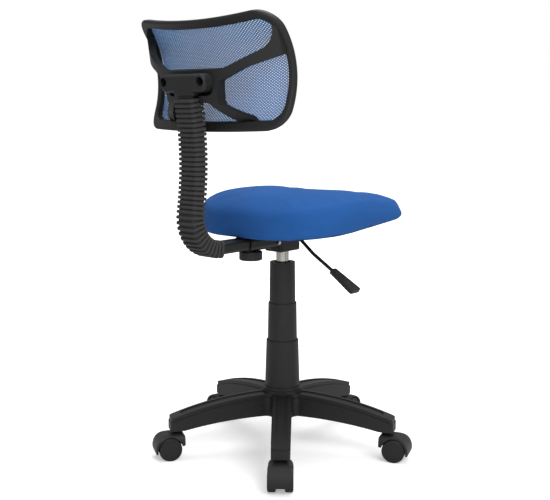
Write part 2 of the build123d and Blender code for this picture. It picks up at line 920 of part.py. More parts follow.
def bellows():
    """Ribbed rubber cover: one ruled skin through the feet and tops of the ribs."""
    start = bar_lengths()[0] - bellows_start
    end = bar_centre() + neck_bottom - bellows_end_gap
    count = round((end - start) / bellows_pitch)
    pitch = (end - start) / count
    core = bellows_gap + bellows_wall
    top = core + bellows_rib
    offsets = (
        ((pitch - bellows_rib_foot) / 2, core),
        ((pitch - bellows_rib_top) / 2, top),
        ((pitch + bellows_rib_top) / 2, top),
        ((pitch + bellows_rib_foot) / 2, core),
    )
    sections = [bar_plane(start) * bar_section(core)]
    for number in range(count):
        for offset, grow in offsets:
            sections.append(bar_plane(start + number * pitch + offset) * bar_section(grow))
    sections.append(bar_plane(end) * bar_section(core))
    skin = loft(sections, ruled=True)
    return skin - bar_sweep(bar_section(bellows_gap), start - bellows_pitch, end + bellows_pitch)


# Back


def back_place():
    """Location of the back's own frame, from the bar that carries it."""
    y, z, heading = bar_point(bar_centre())
    y -= mount_depth * math.sin(heading)
    z += mount_depth * math.cos(heading)
    return Pos(0, y, z) * Rot(math.degrees(heading) - 90.0, 0, 0)


def back_outline(rail, side):
    """Outline of the back seen square on, drawn in at the rails and at the sides."""
    top_x, top_v = back_top_corner[0] - side, back_top_corner[1] - rail
    low_x, low_v = back_bottom_corner[0] - side, back_bottom_corner[1] + rail
    half = back_half_width - side
    edges = ThreePointArc((-top_x, top_v), (0, back_top_middle - rail), (top_x, top_v))
    edges += ThreePointArc((top_x, top_v), (half, back_widest), (low_x, low_v))
    edges += Line((low_x, low_v), (-low_x, low_v))
    edges += ThreePointArc((-low_x, low_v), (-half, back_widest), (-top_x, top_v))
    outline = make_face(edges)
    outline = fillet(outline.vertices().group_by(Axis.Y)[-1], back_top_round - side)
    return fillet(outline.vertices().group_by(Axis.Y)[0], back_bottom_round - side)


def rim_torus(depth):
    """Saddle-shaped body in front of which the rim's surface at a depth lies."""
    major = rim_radius_across + rim_radius_up
    return Pos(0, -rim_radius_across, 0) * Torus(major, rim_radius_up - depth)


def rim_shell(front, rear):
    """Saddle-shaped layer between two depths, counted from the rim's rear face."""
    return rim_torus(front) - rim_torus(rear)


def back_rim():
    """Rim with rounded edges."""
    band = back_outline(0, 0) - back_outline(rail_width, side_width)
    rim = upright(band, rim_radius_up / 2) & rim_shell(-rim_depth, 0)
    return fillet(rim.edges().filter_by(Axis.Y, reverse=True), rim_edge)


def window(corners, corner_round):
    """Window with rounded corners."""
    face = make_face(Polyline(*corners, close=True))
    return fillet(face.vertices(), corner_round)


def upper_window():
    """Space over the cross rail, up past the rim."""
    tall = 2 * back_half_width
    side, rise = upper_window_corner
    bends = ((-cross_rail_bend, cross_rail_top), (cross_rail_bend, cross_rail_top))
    face = make_face(Polyline(
        (-side, tall), (-side, rise), *bends, (side, rise), (side, tall), close=True,
    ))
    face = fillet(face.vertices().group_by(Axis.Y)[1], upper_window_round)
    return fillet(face.vertices().group_by(Axis.Y)[0], cross_rail_round)


def arms_plan():
    """Cross rail and four arms, seen square on."""
    right = window(side_window, side_window_round)
    plan = back_outline(arm_reach, arm_reach) - upper_window() - window(low_window, low_window_round)
    return plan - right - mirror(right, Plane.YZ)


def arm_body(inset):
    """Body whose rear face the arms follow: upright above the join, bent forward below it."""
    tall = 4 * back_half_width
    upper = Pos(0, arm_rear - arm_radius_across, arm_join + tall / 2) * Cylinder(arm_radius_across - inset, tall)
    reach = arm_join - arm_low_centre
    swell = arm_radius_low - math.sqrt(arm_radius_low ** 2 - reach ** 2)
    major = arm_radius_across + swell - arm_radius_low
    lower = Pos(0, arm_rear - arm_radius_across, arm_low_centre) * Torus(major, arm_radius_low - inset)
    lower += Pos(0, arm_rear - arm_radius_across, arm_low_centre) * Cylinder(major, 2 * (arm_radius_low - inset))
    under = Pos(0, 0, arm_join - tall / 2) * Box(2 * tall, 2 * tall, tall)
    return upper + (lower & under)


def back_frame():
    """Moulded frame: rim, arms that swell to the rear, and the hub with its seat for the head plate."""
    plan = arms_plan()
    arms = extrude(Plane.XZ * plan, -2 * arm_rear, both=True)
    arms = (arms & arm_body(0)) - arm_body(arm_thickness)
    ends = upright(plan - back_outline(rail_width, side_width), 2 * arm_rear) & arm_body(0)
    hub = Pos(0, (hub_bottom_edge + cross_rail_top) / 2) * Rectangle(
        2 * hub_half_width, cross_rail_top - hub_bottom_edge
    )
    hub = Pos(0, hub_front, 0) * extrude(Plane.XZ * (plan & hub), -2 * arm_rear)
    added = arms + ends + (hub & arm_body(0))
    added &= rim_torus(-rim_depth)
    frame = back_rim() + added
    pocket_high = head_top + part_gap
    pocket = Pos(0, (pocket_high + neck_bottom) / 2) * RectangleRounded(
        2 * (head_half_width + part_gap), pocket_high - neck_bottom, head_corner
    )
    lower = Pos(0, neck_bottom) * Rectangle(2 * (neck_half_width + part_gap), -2 * neck_bottom)
    frame -= Pos(0, hub_floor, 0) * extrude(Plane.XZ * (pocket + lower), -2 * arm_rear)
    for spot in head_screw_spots():
        frame -= spot * screw_bar(screw_radius, 0, 2 * arm_rear)
    return back_place() * frame


def head_screw_spots():
    """Places of the two head screws in the back's frame."""
    return [Pos(side * head_screw_x, 0, head_screw_v) for side in (-1, 1)]


def screw_bar(radius, front, rear):
    """Round bar along the back's depth."""
    return Pos(0, (front + rear) / 2, 0) * Cylinder(radius, rear - front, rotation=(90, 0, 0))


def head_plate():
    """Moulded head on the bar's top, with two screw wells."""
    plate = Pos(0, (head_top + head_bottom) / 2) * RectangleRounded(
        2 * head_half_width, head_top - head_bottom, head_corner
    )
    neck = Pos(0, (neck_bottom + head_top) / 2) * RectangleRounded(
        2 * neck_half_width, head_top - neck_bottom, head_edge
    )
    head = Pos(0, hub_floor, 0) * extrude(Plane.XZ * (plate + neck), hub_floor - head_rear)
    head = fillet(head.faces().sort_by(Axis.Y)[-1].edges(), head_edge)
    for spot in head_screw_spots():
        head -= spot * screw_bar(head_screw_well, head_screw_floor, 2 * head_rear)
        head -= spot * screw_bar(screw_radius, 0, 2 * head_rear)
    return back_place() * head - bar_sweep(bar_section(0), bar_lengths()[0], bar_centre() + bar_top_end)


def back_screws():
    """Two screws through the head plate, one group."""
    screw = screw_bar(screw_head_radius, head_screw_floor, head_screw_floor + screw_head_height)
    screw += screw_bar(screw_radius, screw_tip, head_screw_floor)
    return [back_place() * spot * screw for spot in head_screw_spots()]


def back_mesh():
    """Net stretched over the front of the rim, as a plain thin sheet."""
    rear = -rim_depth - mesh_gap
    sheet = upright(back_outline(mesh_inset, mesh_inset), rim_radius_up / 2)
    return back_place() * (sheet & rim_shell(rear - mesh_thickness, rear))


# All pieces by node name


def chair():
    """Every piece of the chair by its node's name."""
    pieces = {
        "base_star": base_star(),
        "caster_sleeves": caster_sleeves(),
        "column_tube": column_tube(),
        "guide_bush": guide_bush(),
        "piston_rod": piston_rod(),
        "rod_clip": rod_clip(),
        "thrust_bearing": thrust_bearing(),
        "gas_cylinder": gas_cylinder(),
        "release_button": release_button(),
        "cover_lower": cover_lower(),
        "cover_middle": cover_middle(),
        "cover_upper": cover_upper(),
        "mechanism_housing": mechanism_housing(),
        "seat_plate": seat_plate(),
        "seat_bolts": seat_bolts(),
        "seat_nuts": seat_nuts(),
        "bar_sleeve": bar_sleeve(),
        "sleeve_bolt": sleeve_bolt(),
        "clamp_knob": clamp_knob(),
        "knob_screw": knob_screw(),
        "lever_rod": lever_rod(),
        "lever_paddle": lever_paddle(),
        "seat_board": seat_board(),
        "seat_cushion": seat_cushion(),
        "back_bar": back_bar(),
        "bar_end_cap": bar_end_cap(),
        "bellows": bellows(),
        "head_plate": head_plate(),
        "back_screws": back_screws(),
        "back_frame": back_frame(),
        "back_mesh": back_mesh(),
    }
    caster = {
        "stem": caster_stem(),
        "hood": caster_hood(),
        "axle": caster_axle(),
        "wheel_left": caster_wheel(1),
        "wheel_right": caster_wheel(-1),
    }
    for index in range(leg_count):
        place = leg_place(index) * Pos(caster_circle, 0, 0)
        for name, piece in caster.items():
            pieces[f"caster_{index + 1}_{name}"] = place * piece
    return pieces


os.makedirs("parts", exist_ok=True)
for node, piece in chair().items():
    solids = piece if isinstance(piece, list) else [piece]
    shape = Compound(children=[Compound(solid.wrapped) for solid in solids]) if len(solids) > 1 else solids[0]
    export_step(shape, f"parts/{node}.step")
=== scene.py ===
"""Looks of a swivel office chair: net back, padded seat, ribbed bar cover, finishes and a pale studio."""

import json
import math

import bmesh
import bpy
from mathutils import Matrix, Vector
from mathutils.bvhtree import BVHTree


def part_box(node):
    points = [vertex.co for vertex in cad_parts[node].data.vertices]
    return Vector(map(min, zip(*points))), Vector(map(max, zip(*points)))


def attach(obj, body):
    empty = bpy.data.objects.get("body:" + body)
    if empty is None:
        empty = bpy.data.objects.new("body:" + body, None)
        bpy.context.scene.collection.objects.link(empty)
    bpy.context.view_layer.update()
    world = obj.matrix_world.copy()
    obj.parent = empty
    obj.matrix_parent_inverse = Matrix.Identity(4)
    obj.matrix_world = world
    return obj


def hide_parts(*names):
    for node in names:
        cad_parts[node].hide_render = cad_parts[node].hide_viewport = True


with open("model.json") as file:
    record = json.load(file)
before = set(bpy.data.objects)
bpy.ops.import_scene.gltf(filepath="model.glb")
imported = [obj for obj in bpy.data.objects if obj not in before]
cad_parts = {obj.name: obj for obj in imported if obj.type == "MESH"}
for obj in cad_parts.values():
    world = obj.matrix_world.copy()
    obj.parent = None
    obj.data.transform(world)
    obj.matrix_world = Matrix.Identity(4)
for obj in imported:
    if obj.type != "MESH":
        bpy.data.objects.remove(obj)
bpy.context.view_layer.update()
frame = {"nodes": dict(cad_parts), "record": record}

bl_info = {
    "name": "Swivel Chair Looks",
    "version": (1, 0, 0),
    "blender": (4, 5, 0),
    "location": "3D View > Sidebar > Chair",
    "description": "Dresses a swivel office chair and sets up its studio",
    "category": "Object",
}


# Kinds of settings


def colour(title, text, value):
    """Setting for a colour."""
    return bpy.props.FloatVectorProperty(
        name=title, description=text, subtype="COLOR", size=3, min=0, max=1, default=value,
    )


def metres(title, text, value, **limits):
    """Setting for a length."""
    return bpy.props.FloatProperty(name=title, description=text, unit="LENGTH", default=value, **limits)


def degrees(title, text, value):
    """Setting for an angle."""
    return bpy.props.FloatProperty(name=title, description=text, subtype="ANGLE", default=math.radians(value))


def amount(title, text, value, **options):
    """Setting for a plain number."""
    return bpy.props.FloatProperty(name=title, description=text, default=value, **options)


# Sizes and colours that a user may change


class ChairColours(bpy.types.PropertyGroup):
    """Colours of the finishes."""

    nylon: colour("Nylon", "Moulded black plastic", (0.0076, 0.0076, 0.0079))
    steel: colour("Steel", "Powder coat of the bar and the mechanism", (0.0060, 0.0060, 0.0062))
    rubber: colour("Rubber", "Ribbed cover of the bar", (0.0030, 0.0030, 0.0031))
    fabric: colour("Fabric", "Cloth of the seat", (0.0145, 0.076, 0.255))
    net: colour("Net", "Threads of the back's net", (0.012, 0.140, 0.375))
    wood: colour("Wood", "Plywood board under the seat", (0.42, 0.27, 0.14))


class SeatSizes(bpy.types.PropertyGroup):
    """Padding of the seat and its cloth margin."""

    tilt: degrees("Tilt", "Front of the seat raised", 5.0)
    board_height: metres("Board height", "Board's underside over the floor", 0.500)
    half_width: metres("Half width", "Half width of the seat", 0.197)
    front: metres("Front", "Column's axis to the front edge", 0.222)
    rear: metres("Rear", "Column's axis to the rear edge", 0.145)
    front_corner: metres("Front corner", "Radius of the front corners", 0.080)
    rear_corner: metres("Rear corner", "Radius of the rear corners", 0.150)
    voxel: metres("Voxel", "Cell size of the padding's mesh", 0.005, min=0.002)
    pressure: amount("Pressure", "Push of the foam against the cloth", 4.0, min=0)
    ease: metres("Ease", "How far the padding starts inside its final shape", 0.0025, min=0)
    swell: metres("Swell", "Furthest that the cloth may move", 0.003, min=0)
    dip: metres("Dip", "Depth of the dip between the thighs", 0.014, min=0)
    dip_start: metres("Dip start", "Column's axis to where the dip starts", 0.020)
    dip_full: metres("Dip full", "Column's axis to where it is full", -0.150)
    dip_reach: metres("Dip reach", "Half width of the dip", 0.115, min=0.01)
    nose_draw: metres("Nose draw", "How far the front's lower edge is drawn out", 0.006, min=0.001)
    nose_height: metres("Nose height", "Height up to which it is drawn out", 0.030, min=0.001)
    edge_height: metres("Edge height", "Lower edge where the cloth is tight", 0.016, min=0.001)
    margin_outer: metres("Margin start", "Edge of the seat to the margin under it", 0.012)
    margin_inner: metres("Margin end", "Edge of the seat to the cut edge of the cloth", 0.046)
    staples: bpy.props.IntProperty(
        name="Staples", description="Staples that hold the cloth under the board", default=58, min=4,
    )


class NetSizes(bpy.types.PropertyGroup):
    """Net of the back."""

    pitch_across: metres("Pitch across", "Holes' distance along a row", 0.0070, min=0.002)
    pitch_up: metres("Pitch up", "Holes' distance up the back", 0.0051, min=0.002)
    hole: amount("Hole", "Hole's width as a share of its cell", 0.50, subtype="FACTOR", min=0.1, max=0.95)
    thickness: metres("Thickness", "Thickness of the net", 0.0009, min=0.0001)
    hem: metres("Hem", "Radius of the hem round the net", 0.0014, min=0.0005)


class RibSizes(bpy.types.PropertyGroup):
    """Ribbed cover of the back's bar."""

    width: metres("Width", "Cover's width between the ribs", 0.0448)
    depth: metres("Depth", "Cover's depth between the ribs", 0.0268)
    corner: metres("Corner", "Radius of its corners", 0.0040)
    pitch: metres("Pitch", "Distance from rib to rib", 0.0094, min=0.004)
    height: metres("Height", "Ribs' height", 0.0046, min=0.0005)
    length: metres("Length", "Ribs' length along the bar", 0.0062, min=0.001)
    rounding: metres("Rounding", "Radius of the ribs' edges", 0.0016, min=0.0001)


class StudioSettings(bpy.types.PropertyGroup):
    """Camera and light."""

    camera_place: bpy.props.FloatVectorProperty(
        name="Camera", description="Place of the camera", subtype="TRANSLATION", size=3,
        default=(-1.3357, 1.5366, 0.7507),
    )
    camera_pitch: degrees("Pitch", "How far the camera looks down", 8.51)
    camera_heading: degrees("Heading", "Turn of the camera about the upright", 221.46)
    lens: amount("Lens", "Focal length on a 36 mm wide sensor", 61.6, min=1)
    ambient: amount("Ambient", "Light from all round", 0.42, min=0)
    reflected: amount("Reflected", "Brightness of the room in reflections", 0.7, min=0)
    key: amount("Key", "Power of the main lamp", 68.0, subtype="POWER", min=0)
    fill: amount("Fill", "Power of the fill lamp", 11.0, subtype="POWER", min=0)
    top: amount("Top", "Power of the lamp overhead", 62.0, subtype="POWER", min=0)


class ChairSettings(bpy.types.PropertyGroup):
    """All settings of the chair."""

    colours: bpy.props.PointerProperty(type=ChairColours)
    seat: bpy.props.PointerProperty(type=SeatSizes)
    net: bpy.props.PointerProperty(type=NetSizes)
    ribs: bpy.props.PointerProperty(type=RibSizes)
    studio: bpy.props.PointerProperty(type=StudioSettings)


# Sizes in metres, counts and shares that stay as they are

merge_reach = 0.00001

back_tilt = math.radians(8.9)
back_rearward = Vector((0.0, math.cos(back_tilt), -math.sin(back_tilt)))
net_cells = 130
net_ahead = 0.15  # the lattice starts this far in front of the back
hem_step = 0.004
hem_sides = 10
front_facing = -0.4  # cosine to the rear, below which a face is on the front

bar_height = 0.4725
bar_bend_start = 0.2085
bar_bend_radius = 0.066
bar_bend_angle = math.radians(99.8)
bar_bow_radius = 0.600
bar_bow_turn = math.radians(18.7)
cover_start = -0.003  # counted from the start of the bend
cover_past_bow = 0.0286  # straight rest of the cover after the bow
cover_step = 0.005
cover_corner_steps = 5
rib_corner_steps = 2
rib_sharp_angle = math.radians(30.0)

ease_height = 0.02  # heights are over the board's underside
held_height = 0.004
well_height = 0.0135
well_inset = 0.014
cloth_frames = 20
skin_passes = 3
outline_steps = 12
dip_rise = 2.0  # nose heights up to where the dip is full
nose_start = 0.4  # share of the front where the nose starts
nose_rise = 0.4  # share of the front over which it grows
nose_reach = 6.0  # breadth of the drawn edge, in draws

margin_rows = 5
margin_gap = 0.0009
margin_sag = 0.0006
margin_fold = 0.0004
margin_fold_turn = 2.1  # radians from point to point
margin_thickness = 0.0008
staple_inset = 0.012
staple_drop = 0.0022
staple_length = 0.010
staple_wire = 0.0004
staple_crown = 3.0  # breadth of a staple, in wires
staple_sides = 6

floor_reach = 30.0
shadow_reach = (0.35, 1.6)  # shadow kept up to the first, white floor from the second
floor_glow = (0.35, 1.0)  # strengths at those distances
sensor_width = 36.0  # in millimetres
lamps = {
    "key": {"place": (-2.6, 1.0, 2.3), "target": (0.0, 0.0, 0.5), "size": (1.8, 1.4)},
    "fill": {"place": (-1.3, 2.5, 1.1), "target": (0.0, 0.0, 0.4), "size": (1.6, 1.6)},
    "top": {"place": (0.2, -0.4, 2.9), "target": (0.0, 0.0, 0.4), "size": (2.2, 2.2)},
}


# Helpers for objects and node trees


def clamped(value):
    """Value kept between 0 and 1."""
    return min(1.0, max(0.0, value))


def add_object(name, data):
    """New object in the scene."""
    piece = bpy.data.objects.new(name, data)
    bpy.context.scene.collection.objects.link(piece)
    return piece


def plain_mesh(name, holder):
    """Evaluated shape of an object as a plain mesh in a new object; the holder goes."""
    bpy.context.view_layer.update()
    depsgraph = bpy.context.evaluated_depsgraph_get()
    mesh = bpy.data.meshes.new_from_object(holder.evaluated_get(depsgraph))
    mesh.name = name
    mesh.transform(holder.matrix_world)
    bpy.data.objects.remove(holder)
    return add_object(name, mesh)


def smooth(piece):
    """Smooth shading on every face."""
    for face in piece.data.polygons:
        face.use_smooth = True


def paint(piece, material):
    """One material on the whole piece."""
    piece.data.materials.clear()
    piece.data.materials.append(material)


def feed(tree, node, inputs):
    """Links sockets to a node's inputs and sets its other inputs to plain values."""
    for key, value in inputs.items():
        if isinstance(value, bpy.types.NodeSocket):
            tree.links.new(value, node.inputs[key])
        else:
            node.inputs[key].default_value = value


def add_node(tree, kind, inputs=None, **settings):
    """New node with its settings and inputs."""
    node = tree.nodes.new(kind)
    for name, value in settings.items():
        setattr(node, name, value)
    feed(tree, node, inputs or {})
    return node


def maths(tree, operation, first, second):
    """Maths node; an operand is a socket or a number."""
    return add_node(tree, "ShaderNodeMath", {0: first, 1: second}, operation=operation).outputs["Value"]


def new_material(name):
    """Material with a Principled shader; gives the material, its tree and the shader."""
    material = bpy.data.materials.new(name)
    material.use_nodes = True
    tree = material.node_tree
    return material, tree, tree.nodes["Principled BSDF"]


def object_place(tree, scale=(1.0, 1.0, 1.0)):
    """Object coordinates, scaled."""
    coordinates = add_node(tree, "ShaderNodeTexCoord")
    mapping = add_node(tree, "ShaderNodeMapping", {"Scale": scale, "Vector": coordinates.outputs["Object"]})
    return mapping.outputs["Vector"]


def noise(tree, place, scale, detail, rough=0.5):
    """Noise over a place."""
    return add_node(tree, "ShaderNodeTexNoise", {
        "Scale": scale, "Detail": detail, "Roughness": rough, "Vector": place,
    }).outputs["Fac"]


def ramp(tree, value, low, high):
    """Value from 0..1 spread over low..high."""
    return add_node(tree, "ShaderNodeMapRange", {
        "To Min": low, "To Max": high, "Value": value,
    }).outputs["Result"]


def two_tones(tree, value, first, second):
    """Colour between two tones."""
    node = add_node(tree, "ShaderNodeValToRGB", {"Fac": value})
    node.color_ramp.elements[0].color = (*first, 1.0)
    node.color_ramp.elements[1].color = (*second, 1.0)
    return node.outputs["Color"]


def bump(tree, height, distance, strength):
    """Normal of a surface with relief."""
    return add_node(tree, "ShaderNodeBump", {
        "Distance": distance, "Strength": strength, "Height": height,
    }).outputs["Normal"]


def shade(colour_of, factor):
    """Colour made lighter or darker."""
    return tuple(min(1.0, channel * factor) for channel in colour_of)


# Finishes


def moulded_nylon(colours):
    """Black plastic with a fine eroded grain and faint flow marks."""
    material, tree, shader = new_material("moulded_nylon")
    place = object_place(tree)
    broad = noise(tree, place, 14.0, 2.0)
    grain = noise(tree, place, 1400.0, 2.0, 0.6)
    feed(tree, shader, {
        "Base Color": two_tones(tree, broad, shade(colours.nylon, 0.8), shade(colours.nylon, 1.25)),
        "Roughness": ramp(tree, grain, 0.46, 0.66),
        "Specular IOR Level": 0.29,
        "Normal": bump(tree, grain, 0.00006, 0.5),
    })
    return material


def powder_coat(colours):
    """Satin black powder coat with a slight orange peel."""
    material, tree, shader = new_material("powder_coat")
    place = object_place(tree)
    peel = noise(tree, place, 520.0, 2.0)
    broad = noise(tree, place, 20.0, 2.0)
    feed(tree, shader, {
        "Base Color": two_tones(tree, broad, shade(colours.steel, 0.85), shade(colours.steel, 1.2)),
        "Roughness": ramp(tree, peel, 0.34, 0.5),
        "Specular IOR Level": 0.24,
        "Normal": bump(tree, peel, 0.00008, 0.4),
    })
    return material


def blackened_screw(colours):
    """Dark oiled steel of the head's screws and the casters' stems."""
    material, tree, shader = new_material("blackened_screw")
    spots = noise(tree, object_place(tree), 900.0, 4.0)
    feed(tree, shader, {
        "Base Color": two_tones(tree, spots, shade(colours.steel, 0.7), shade(colours.steel, 1.8)),
        "Metallic": 0.8,
        "Roughness": ramp(tree, spots, 0.35, 0.55),
    })
    return material


def bright_chrome():
    """Polished gas cylinder with hair-fine turning lines."""
    material, tree, shader = new_material("bright_chrome")
    lines = noise(tree, object_place(tree, (40.0, 40.0, 9000.0)), 1.0, 2.0)
    feed(tree, shader, {
        "Base Color": (0.38, 0.365, 0.345, 1.0),
        "Metallic": 1.0,
        "Roughness": ramp(tree, lines, 0.06, 0.14),
        "Normal": bump(tree, lines, 0.000008, 0.3),
    })
    return material


def zinc_plate():
    """Bright zinc of bolts, axles and staples."""
    material, tree, shader = new_material("zinc_plate")
    cloud = noise(tree, object_place(tree), 240.0, 4.0, 0.6)
    feed(tree, shader, {
        "Base Color": two_tones(tree, cloud, (0.5, 0.5, 0.48), (0.68, 0.68, 0.65)),
        "Metallic": 1.0,
        "Roughness": ramp(tree, cloud, 0.26, 0.42),
    })
    return material


def black_rubber(colours):
    """Satin rubber of the ribbed cover, a little dusty."""
    material, tree, shader = new_material("black_rubber")
    place = object_place(tree)
    grain = noise(tree, place, 1100.0, 3.0, 0.6)
    dust = noise(tree, place, 55.0, 4.0, 0.6)
    feed(tree, shader, {
        "Base Color": two_tones(tree, dust, shade(colours.rubber, 0.8), shade(colours.rubber, 1.5)),
        "Roughness": ramp(tree, dust, 0.28, 0.42),
        "Specular IOR Level": 0.3,
        "Normal": bump(tree, grain, 0.00005, 0.5),
    })
    return material


def bare_plywood(colours):
    """Plywood with its grain along the seat's width."""
    material, tree, shader = new_material("bare_plywood")
    grain = noise(tree, object_place(tree, (3.0, 60.0, 60.0)), 6.0, 6.0, 0.65)
    feed(tree, shader, {
        "Base Color": two_tones(tree, grain, shade(colours.wood, 0.62), shade(colours.wood, 1.25)),
        "Roughness": ramp(tree, grain, 0.55, 0.75),
        "Normal": bump(tree, grain, 0.0002, 0.4),
    })
    return material


def seat_cloth(colours):
    """Blue upholstery cloth with a fine knit, soft sheen, slight tone changes at random and painted shade in
    the knit's hollows.
    """
    material, tree, shader = new_material("seat_cloth")
    place = object_place(tree)
    knit = add_node(tree, "ShaderNodeTexVoronoi", {"Scale": 620.0, "Vector": place}).outputs["Distance"]
    cloud = noise(tree, place, 9.0, 3.0)
    fibre = noise(tree, place, 2400.0, 2.0, 0.6)
    # Painted shade: the colour darkens where the knit's relief is low, in its hollows; the cloud part is tone
    # that changes at random.
    depth = maths(tree, "ADD", maths(tree, "MULTIPLY", cloud, 0.5), maths(tree, "MULTIPLY", knit, 0.4))
    relief = maths(tree, "ADD", maths(tree, "MULTIPLY", knit, -0.7), maths(tree, "MULTIPLY", fibre, 0.3))
    feed(tree, shader, {
        "Base Color": two_tones(tree, depth, shade(colours.fabric, 1.2), shade(colours.fabric, 0.72)),
        "Roughness": 0.9,
        "Specular IOR Level": 0.1,
        "Sheen Weight": 0.05,
        "Sheen Roughness": 0.45,
        "Sheen Tint": (0.45, 0.66, 1.0, 1.0),
        "Normal": bump(tree, relief, 0.0005, 0.6),
    })
    return material


def net_thread(colours):
    """Blue synthetic threads of the net, with a fine twist."""
    material, tree, shader = new_material("net_thread")
    place = object_place(tree)
    twist = noise(tree, place, 2600.0, 2.0)
    cloud = noise(tree, place, 30.0, 2.0)
    feed(tree, shader, {
        "Base Color": two_tones(tree, cloud, shade(colours.net, 0.85), shade(colours.net, 1.15)),
        "Roughness": ramp(tree, twist, 0.45, 0.65),
        "Sheen Weight": 0.15,
        "Normal": bump(tree, twist, 0.0001, 0.4),
    })
    return material


class CHAIR_OT_finishes(bpy.types.Operator):
    """Makes the finishes and puts them on the frame's nodes"""

    bl_idname = "chair.finishes"
    bl_label = "Finishes"

    def execute(self, context):
        colours = context.scene.chair.colours
        finish_of_slot = {
            "black_nylon": moulded_nylon(colours),
            "black_steel": powder_coat(colours),
            "dark_steel": blackened_screw(colours),
            "chrome": bright_chrome(),
            "zinc": zinc_plate(),
            "black_rubber": black_rubber(colours),
            "plywood": bare_plywood(colours),
            "blue_fabric": seat_cloth(colours),
            "blue_mesh": net_thread(colours),
        }
        for part in frame["record"]["subparts"]:
            paint(frame["nodes"][part["node"]], finish_of_slot[part["material_slot"]])
        return {"FINISHED"}


# Node trees that shape pieces


def new_tree(name, inputs):
    """Geometry node tree with named inputs; gives the tree, its inputs and its output node."""
    tree = bpy.data.node_groups.new(name, "GeometryNodeTree")
    tree.interface.new_socket("Geometry", in_out="INPUT", socket_type="NodeSocketGeometry")
    for title, kind in inputs:
        tree.interface.new_socket(title, in_out="INPUT", socket_type="NodeSocket" + kind)
    tree.interface.new_socket("Geometry", in_out="OUTPUT", socket_type="NodeSocketGeometry")
    return tree, tree.nodes.new("NodeGroupInput").outputs, tree.nodes.new("NodeGroupOutput")


def end_tree(tree, given, end, geometry):
    """Closes a tree with real geometry, smooth shading and its material."""
    real = add_node(tree, "GeometryNodeRealizeInstances", {"Geometry": geometry})
    even = add_node(tree, "GeometryNodeSetShadeSmooth", {"Geometry": real.outputs["Geometry"]})
    dress = add_node(tree, "GeometryNodeSetMaterial", {
        "Geometry": even.outputs["Geometry"], "Material": given["Material"],
    })
    feed(tree, end, {"Geometry": dress.outputs["Geometry"]})


def grown(name, tree, values):
    """Piece that a node tree makes, as a plain mesh."""
    holder = add_object(name + "_holder", bpy.data.meshes.new(name + "_holder"))
    modifier = holder.modifiers.new("Shape", "NODES")
    modifier.node_group = tree
    for item in tree.interface.items_tree:
        if item.in_out == "INPUT" and item.name in values:
            modifier[item.identifier] = values[item.name]
    return plain_mesh(name, holder)


def object_shape(tree, source):
    """Geometry of an object input, in the scene's own frame."""
    info = add_node(tree, "GeometryNodeObjectInfo", {"Object": source}, transform_space="ORIGINAL")
    return info.outputs["Geometry"]


def swept(tree, route, section):
    """Surface of a section that follows a route."""
    return add_node(tree, "GeometryNodeCurveToMesh", {
        "Curve": route, "Profile Curve": section,
    }).outputs["Mesh"]


def route_object(name, points):
    """Curve through points, as a guide for a node tree."""
    curve = bpy.data.curves.new(name, "CURVE")
    curve.dimensions = "3D"
    spline = curve.splines.new("POLY")
    spline.points.add(len(points) - 1)
    for spot, point in zip(spline.points, points):
        spot.co = (*point, 1.0)
    return add_object(name, curve)


# Net of the back


def net_tree():
    """Lattice of diamond holes, laid on the front of a sheet."""
    tree, given, end = new_tree("Net", (
        ("Sheet", "Object"), ("Middle", "Vector"), ("Turn", "Vector"), ("Rearward", "Vector"),
        ("Pitch across", "Float"), ("Pitch up", "Float"), ("Hole", "Float"), ("Material", "Material"),
    ))
    lattice = add_node(tree, "GeometryNodeMeshGrid", {
        "Size X": float(net_cells), "Size Y": float(net_cells),
        "Vertices X": net_cells + 1, "Vertices Y": net_cells + 1,
    })
    diamonds = add_node(tree, "GeometryNodeTransform", {
        "Geometry": lattice.outputs["Mesh"], "Rotation": (0.0, 0.0, math.radians(45.0)),
    })
    size = add_node(tree, "ShaderNodeCombineXYZ", {
        "X": maths(tree, "DIVIDE", given["Pitch across"], math.sqrt(2.0)),
        "Y": maths(tree, "DIVIDE", given["Pitch up"], math.sqrt(2.0)),
        "Z": 1.0,
    })
    placed = add_node(tree, "GeometryNodeTransform", {
        "Geometry": diamonds.outputs["Geometry"], "Scale": size.outputs["Vector"],
        "Rotation": given["Turn"], "Translation": given["Middle"],
    })
    ray = add_node(tree, "GeometryNodeRaycast", {
        "Target Geometry": object_shape(tree, given["Sheet"]), "Ray Direction": given["Rearward"],
        "Ray Length": 1.0,
    })
    missed = add_node(tree, "FunctionNodeBooleanMath", {0: ray.outputs["Is Hit"]}, operation="NOT")
    marked = add_node(tree, "GeometryNodeStoreNamedAttribute", {
        "Name": "outside", "Geometry": placed.outputs["Geometry"], "Value": missed.outputs["Boolean"],
    }, data_type="BOOLEAN", domain="POINT")
    laid = add_node(tree, "GeometryNodeSetPosition", {
        "Geometry": marked.outputs["Geometry"], "Position": ray.outputs["Hit Position"],
    })
    outside = add_node(tree, "GeometryNodeInputNamedAttribute", {"Name": "outside"}, data_type="BOOLEAN")
    trimmed = add_node(tree, "GeometryNodeDeleteGeometry", {
        "Geometry": laid.outputs["Geometry"], "Selection": outside.outputs["Attribute"],
    }, domain="POINT")
    inset = add_node(tree, "GeometryNodeExtrudeMesh", {
        "Mesh": trimmed.outputs["Geometry"], "Individual": True, "Offset Scale": 0.0,
    }, mode="FACES")
    narrowed = add_node(tree, "GeometryNodeScaleElements", {
        "Geometry": inset.outputs["Mesh"], "Selection": inset.outputs["Top"], "Scale": given["Hole"],
    }, domain="FACE")
    pierced = add_node(tree, "GeometryNodeDeleteGeometry", {
        "Geometry": narrowed.outputs["Geometry"], "Selection": inset.outputs["Top"],
    }, domain="FACE")
    end_tree(tree, given, end, pierced.outputs["Geometry"])
    return tree


